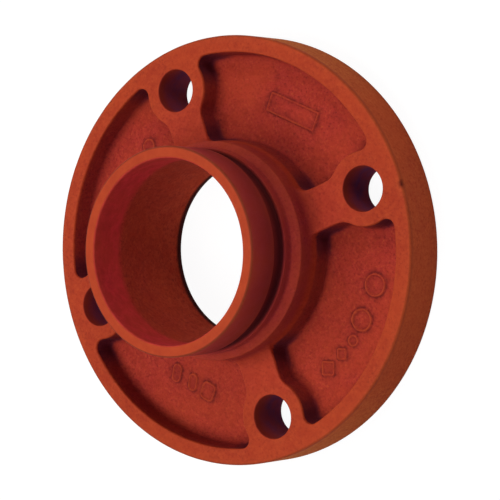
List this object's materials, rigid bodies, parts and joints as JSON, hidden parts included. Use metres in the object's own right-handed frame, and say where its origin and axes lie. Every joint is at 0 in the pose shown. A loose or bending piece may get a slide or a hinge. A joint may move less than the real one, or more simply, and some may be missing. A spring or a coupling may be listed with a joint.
{
  "type": "grooved flange adapter",
  "caption": "Cast iron pipe flange with a flat sealing face, bolt holes on ribbed bosses and a short grooved pipe end for a clamp coupling.",
  "frame": {"origin": "centre of the bore on the flat sealing face at the back of the flange", "axes": "+Z along the bore from the sealing face to the grooved pipe end; the bolt holes stand at 45 degrees to X and Y"},
  "size_m": [0.1904, 0.1904, 0.0624],
  "materials": {
    "painted_iron": "satin orange-red coating over cast iron, rough in the pockets and smooth on the turned faces"
  },
  "bodies": {
    "root": {"flange_adapter": "painted_iron"}
  },
  "joints": []
}
